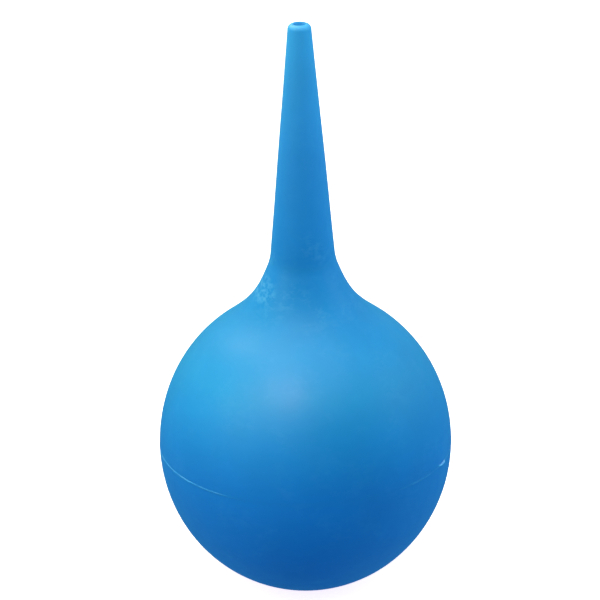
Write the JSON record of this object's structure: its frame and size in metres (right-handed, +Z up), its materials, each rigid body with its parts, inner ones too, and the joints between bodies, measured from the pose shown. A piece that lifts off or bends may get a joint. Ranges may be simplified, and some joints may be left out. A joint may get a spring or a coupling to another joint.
{
  "type": "nasal aspirator",
  "caption": "Soft rubber-like squeeze bulb with a flared neck and a long tapered nozzle, for drawing mucus from an infant's nose; stands on a small flat foot.",
  "frame": {"origin": "centre of the foot's flat face, on the surface that the bulb stands on", "axes": "+Z up the nozzle, from the foot to the tip; the object is round about Z"},
  "size_m": [0.0522, 0.0522, 0.1026],
  "materials": {
    "bulb_soft_plastic": "satin",
    "nozzle_soft_plastic": "satin",
    "seam_bond": "satin"
  },
  "bodies": {
    "base": {"bulb_lower_half": "bulb_soft_plastic"},
    "seam": {"seam_bead": "seam_bond"},
    "neck": {"bulb_upper_half": "bulb_soft_plastic", "nozzle": "nozzle_soft_plastic"}
  },
  "joints": [
    {"name": "squeeze", "type": "slide", "parent": "base", "child": "neck", "axis": [0, 0, -1], "range_m": [0, 0.02], "stiffness_N_per_m": 1200, "deforming": ["bulb_lower_half", "bulb_upper_half"]},
    {"name": "seam_follows", "type": "slide", "parent": "base", "child": "seam", "axis": [0, 0, -1], "range_m": [0, 0.01], "stiffness_N_per_m": 5}
  ],
  "couplings": [
    {"joint": "seam_follows", "follows": "squeeze", "ratio": 0.5}
  ]
}
